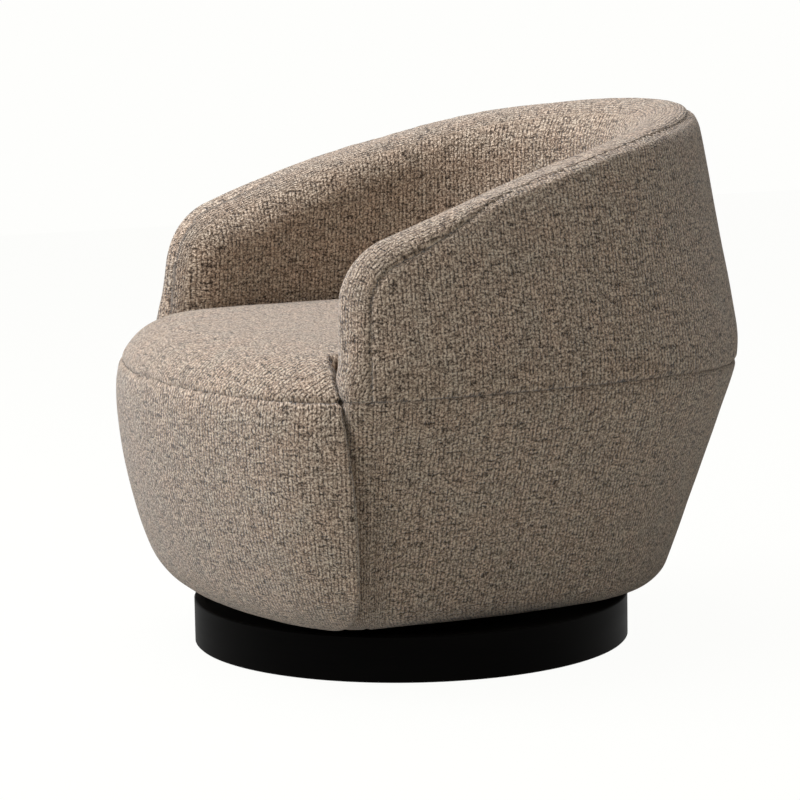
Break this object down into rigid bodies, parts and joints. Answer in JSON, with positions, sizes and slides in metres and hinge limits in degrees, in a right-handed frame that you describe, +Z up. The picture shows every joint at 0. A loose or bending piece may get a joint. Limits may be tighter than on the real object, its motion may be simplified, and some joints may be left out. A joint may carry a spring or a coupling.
{
  "type": "swivel lounge chair",
  "caption": "Barrel-shaped upholstered swivel chair: a crowned seat block held by a wrap-around arm and back shell on a round plinth, with seams at the waist and rim.",
  "frame": {"origin": "on the floor, under the middle of the upholstered body's bounding box", "axes": "+Z up, -Y towards the front of the seat, +X towards the sitter's left; the swivel axis is parallel to Z, 40 mm in front of the origin"},
  "size_m": [0.756, 0.858, 0.7379],
  "materials": {
    "woven_cover": "coarse looped weave in beige taupe yarns",
    "foam": "open-cell polyurethane foam, matt",
    "lining": "black non-woven cloth",
    "webbing": "elastic woven strap, matt",
    "plywood": "raw birch plywood with layered edges",
    "stained_wood": "near-black stain, satin",
    "zinc_steel": "zinc plated, satin",
    "bearing_steel": "polished",
    "cage_plastic": "natural nylon",
    "glide": "hard felt and plastic pad, matt"
  },
  "bodies": {
    "base": {"plinth_wall": "stained_wood", "plinth_floor_ring": "plywood", "plinth_batten_lengthwise": "plywood", "plinth_batten_crosswise": "plywood", "plinth_top_board": "stained_wood", "floor_glides": "glide", "bearing_lower_plate": "zinc_steel", "bearing_pivot_pin": "zinc_steel", "bearing_lower_bolts": "zinc_steel"},
    "ball_ring": {"ball_cage": "cage_plastic", "bearing_balls": "bearing_steel"},
    "seat_body": {"bearing_upper_plate": "zinc_steel", "bearing_upper_bolts": "zinc_steel", "tee_nuts": "zinc_steel", "seat_base_board": "plywood", "dust_cover": "lining", "arm_front_posts": "plywood", "top_rail": "plywood", "waist_rail": "plywood", "lower_ribs": "plywood", "upper_ribs": "plywood", "seat_rail": "plywood", "front_ribs": "plywood", "seat_webbing_lengthwise": "webbing", "seat_webbing_crosswise": "webbing", "platform_cloth": "lining", "back_webbing": "webbing", "inner_cover": "woven_cover", "outer_upper_cover": "woven_cover", "outer_lower_cover": "woven_cover", "tub_foam": "foam", "seat_foam": "foam", "seat_band_cover": "woven_cover", "seat_top_cover": "woven_cover"}
  },
  "joints": [
    {"name": "seat_swivel", "type": "hinge", "parent": "base", "child": "seat_body", "pos_m": [0, -0.04, 0], "axis": [0, 0, 1], "continuous": true},
    {"name": "ball_ring_roll", "type": "hinge", "parent": "base", "child": "ball_ring", "pos_m": [0, -0.04, 0], "axis": [0, 0, 1], "continuous": true}
  ],
  "couplings": [
    {"joint": "ball_ring_roll", "follows": "seat_swivel", "ratio": 0.5}
  ]
}
